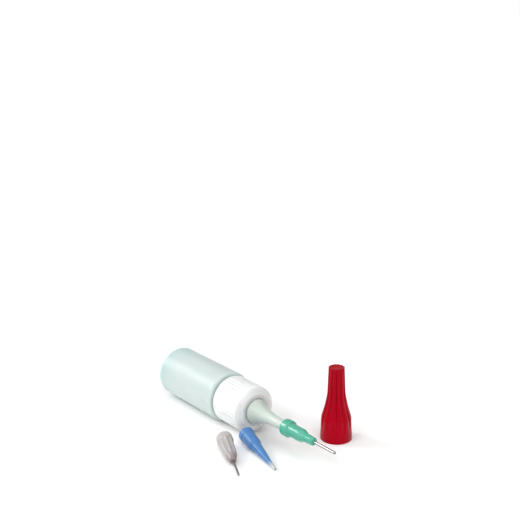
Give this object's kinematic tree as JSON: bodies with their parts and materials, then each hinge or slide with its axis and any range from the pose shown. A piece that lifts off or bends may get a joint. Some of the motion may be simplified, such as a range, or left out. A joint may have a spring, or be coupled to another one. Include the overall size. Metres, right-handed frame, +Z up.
{
  "type": "glue applicator bottle",
  "caption": "Small translucent squeeze bottle on its side with a ribbed screw collar and needle tip fitted, plus its tall fluted spout cover and spare push-on tips.",
  "frame": {"origin": "on the table, at the middle of the footprint of the whole group", "axes": "+X along the bottle's axis from its base to its needle, +Z up from the table, +Y towards the spout cover"},
  "size_m": [0.1174, 0.0645, 0.0347],
  "materials": {
    "milky_plastic": "translucent milky squeeze plastic, satin",
    "white_plastic": "satin white",
    "clear_grey_plastic": "translucent, grey-green tint, smooth",
    "green_plastic": "smooth translucent green",
    "red_plastic": "smooth red, soft gloss",
    "blue_plastic": "smooth translucent blue",
    "pinkish_plastic": "clear with a pinkish-grey tint",
    "stainless_steel": "drawn stainless tube"
  },
  "bodies": {
    "nozzle": {"nozzle_insert": "clear_grey_plastic"},
    "bottle": {"bottle_body": "milky_plastic"},
    "collar": {"screw_collar": "white_plastic"},
    "green_tip": {"green_tip_hub": "green_plastic", "green_tip_needle": "stainless_steel"},
    "cover": {"spout_cover": "red_plastic"},
    "blue_tip": {"blue_taper_tip": "blue_plastic"},
    "pink_tip": {"pink_tip_hub": "pinkish_plastic", "pink_tip_needle": "stainless_steel"}
  },
  "joints": [
    {"name": "collar_turn", "type": "hinge", "parent": "nozzle", "child": "collar", "pos_m": [-0.01305, -0.00125, 0.01205], "axis": [1, 0, 0], "range_deg": [0, 720]},
    {"name": "bottle_back_off", "type": "slide", "parent": "nozzle", "child": "bottle", "axis": [-1, 0, 0], "range_m": [0, 0.006]},
    {"name": "green_tip_pull_off", "type": "slide", "parent": "nozzle", "child": "green_tip", "axis": [1, 0, 0], "range_m": [0, 0.012]},
    {"name": "cover_lift", "type": "slide", "parent": "nozzle", "child": "cover", "axis": [0, 0, 1], "range_m": [0, 0.03]},
    {"name": "blue_tip_lift", "type": "slide", "parent": "nozzle", "child": "blue_tip", "axis": [0, -0.2873, 0.9578], "range_m": [0, 0.03]},
    {"name": "pink_tip_lift", "type": "slide", "parent": "nozzle", "child": "pink_tip", "axis": [0, -0.2873, 0.9578], "range_m": [0, 0.03]}
  ],
  "couplings": [
    {"joint": "collar_turn", "follows": "bottle_back_off", "rad_per_m": 2094.4}
  ]
}
